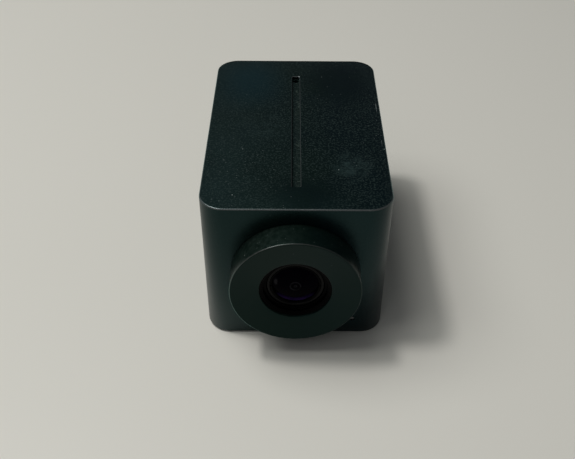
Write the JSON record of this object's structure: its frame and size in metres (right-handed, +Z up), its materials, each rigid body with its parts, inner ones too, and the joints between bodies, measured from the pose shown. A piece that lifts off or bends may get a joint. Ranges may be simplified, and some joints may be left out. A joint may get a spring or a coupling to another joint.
{
  "type": "dash camera",
  "caption": "Box-shaped dash camera with a round lens barrel on its front, a groove along its top, rear power inlet, card slot and push button, and a tripod thread underneath.",
  "frame": {"origin": "middle of the overall box, lens barrel included, on the surface the camera stands on", "axes": "+Z up, the lens looks along -Y, X across the housing with X = 0 on its mid-plane"},
  "size_m": [0.046, 0.079, 0.0415],
  "materials": {
    "housing": "matt, fine speckled grain",
    "base": "matt",
    "foot": "matt",
    "insert": "turned",
    "screw_steel": "plain",
    "barrel": "satin black",
    "nut": "turned",
    "lens_black": "dead matt black",
    "lens_glass": "coated",
    "filter_glass": "coated",
    "silicon": "polished",
    "circuit_board": "solder mask",
    "connector": "moulded",
    "flat_cable": "film",
    "chip": "moulded",
    "gap_pad": "soft",
    "heatsink": "extruded",
    "pin_nylon": "moulded",
    "inductor": "pressed",
    "capacitor": "sleeved",
    "shell_steel": "plated",
    "tongue": "moulded",
    "card": "moulded",
    "switch_body": "moulded",
    "plunger": "moulded",
    "button": "moulded",
    "led": "epoxy",
    "light_pipe": "clear plastic",
    "mic_can": "plated",
    "gasket": "soft"
  },
  "bodies": {
    "camera_body": {"main_housing": "housing", "base_plate": "base", "rubber_foot": "foot", "tripod_insert": "insert", "base_screws": "screw_steel", "lens_barrel": "barrel", "barrel_nut": "nut", "front_baffle": "lens_black", "lens_tube": "lens_black", "front_retainer": "lens_black", "front_element": "lens_glass", "front_spacer": "lens_black", "middle_element": "lens_glass", "aperture_stop": "lens_black", "rear_spacer": "lens_black", "rear_element": "lens_glass", "lens_holder": "lens_black", "infrared_filter": "filter_glass", "image_sensor": "silicon", "sensor_board": "circuit_board", "sensor_screws": "screw_steel", "sensor_connector": "connector", "sensor_flex": "flat_cable", "main_board": "circuit_board", "board_screws": "screw_steel", "board_connector": "connector", "processor": "chip", "thermal_pad": "gap_pad", "heatsink": "heatsink", "heatsink_pins": "pin_nylon", "memory_chips": "chip", "motion_sensor": "chip", "power_inductors": "inductor", "buffer_capacitors": "capacitor", "usb_shell": "shell_steel", "usb_tongue": "tongue", "card_socket": "shell_steel", "button_switch": "switch_body", "status_led": "led", "light_pipe": "light_pipe", "mic_board": "circuit_board", "microphone": "mic_can", "mic_gasket": "gasket", "mic_screws": "screw_steel", "mic_connectors": "connector", "mic_flex": "flat_cable"},
    "power_button": {"power_button": "button", "switch_plunger": "plunger"},
    "memory_card": {"memory_card": "card"}
  },
  "joints": [
    {"name": "power_button_press", "type": "slide", "parent": "camera_body", "child": "power_button", "axis": [0, -1, 0], "range_m": [0, 0.0004], "stiffness_N_per_m": 600},
    {"name": "memory_card_slide", "type": "slide", "parent": "camera_body", "child": "memory_card", "axis": [0, 1, 0], "range_m": [0, 0.016]}
  ]
}
